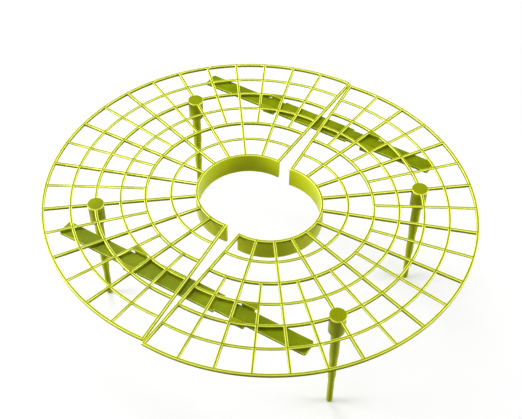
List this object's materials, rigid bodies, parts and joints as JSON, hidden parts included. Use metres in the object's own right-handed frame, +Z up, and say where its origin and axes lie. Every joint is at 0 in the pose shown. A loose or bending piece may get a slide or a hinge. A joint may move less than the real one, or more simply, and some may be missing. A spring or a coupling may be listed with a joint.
{
  "type": "plant support ring",
  "caption": "Round ribbed grid in two halves on plug-in stakes, held together by flat bars, that keeps leaves and fruit off the soil.",
  "frame": {"origin": "on the ground, midway between the four stakes, below the middle of the stem opening", "axes": "+Z up, Y along the seam between the halves, +X from the seam towards the right half"},
  "size_m": [0.3194, 0.3038, 0.1],
  "materials": {
    "grid": "glossy lime moulding",
    "bar": "glossy lime moulding",
    "stake": "glossy lime moulding"
  },
  "bodies": {
    "left_half": {"left_half_grid": "grid"},
    "right_half": {"right_half_grid": "grid"},
    "front_bar": {"front_bar": "bar"},
    "back_bar": {"back_bar": "bar"},
    "front_left_stake": {"front_left_stake": "stake"},
    "front_right_stake": {"front_right_stake": "stake"},
    "back_left_stake": {"back_left_stake": "stake"},
    "back_right_stake": {"back_right_stake": "stake"}
  },
  "joints": [
    {"name": "halves_part", "type": "slide", "parent": "left_half", "child": "right_half", "axis": [0.9995, -0.0321, 0], "range_m": [0, 0.055]},
    {"name": "front_bar_slide", "type": "slide", "parent": "left_half", "child": "front_bar", "axis": [0.9995, -0.0321, 0], "range_m": [-0.0017, 0.0133]},
    {"name": "back_bar_slide", "type": "slide", "parent": "left_half", "child": "back_bar", "axis": [0.9995, -0.0321, 0], "range_m": [-0.0031, 0.0119]},
    {"name": "front_left_stake_pull", "type": "slide", "parent": "left_half", "child": "front_left_stake", "axis": [0, 0, -1], "range_m": [0, 0.0155]},
    {"name": "front_right_stake_pull", "type": "slide", "parent": "right_half", "child": "front_right_stake", "axis": [0, 0, -1], "range_m": [0, 0.0155]},
    {"name": "back_left_stake_pull", "type": "slide", "parent": "left_half", "child": "back_left_stake", "axis": [0, 0, -1], "range_m": [0, 0.0155]},
    {"name": "back_right_stake_pull", "type": "slide", "parent": "right_half", "child": "back_right_stake", "axis": [0, 0, -1], "range_m": [0, 0.0155]}
  ]
}
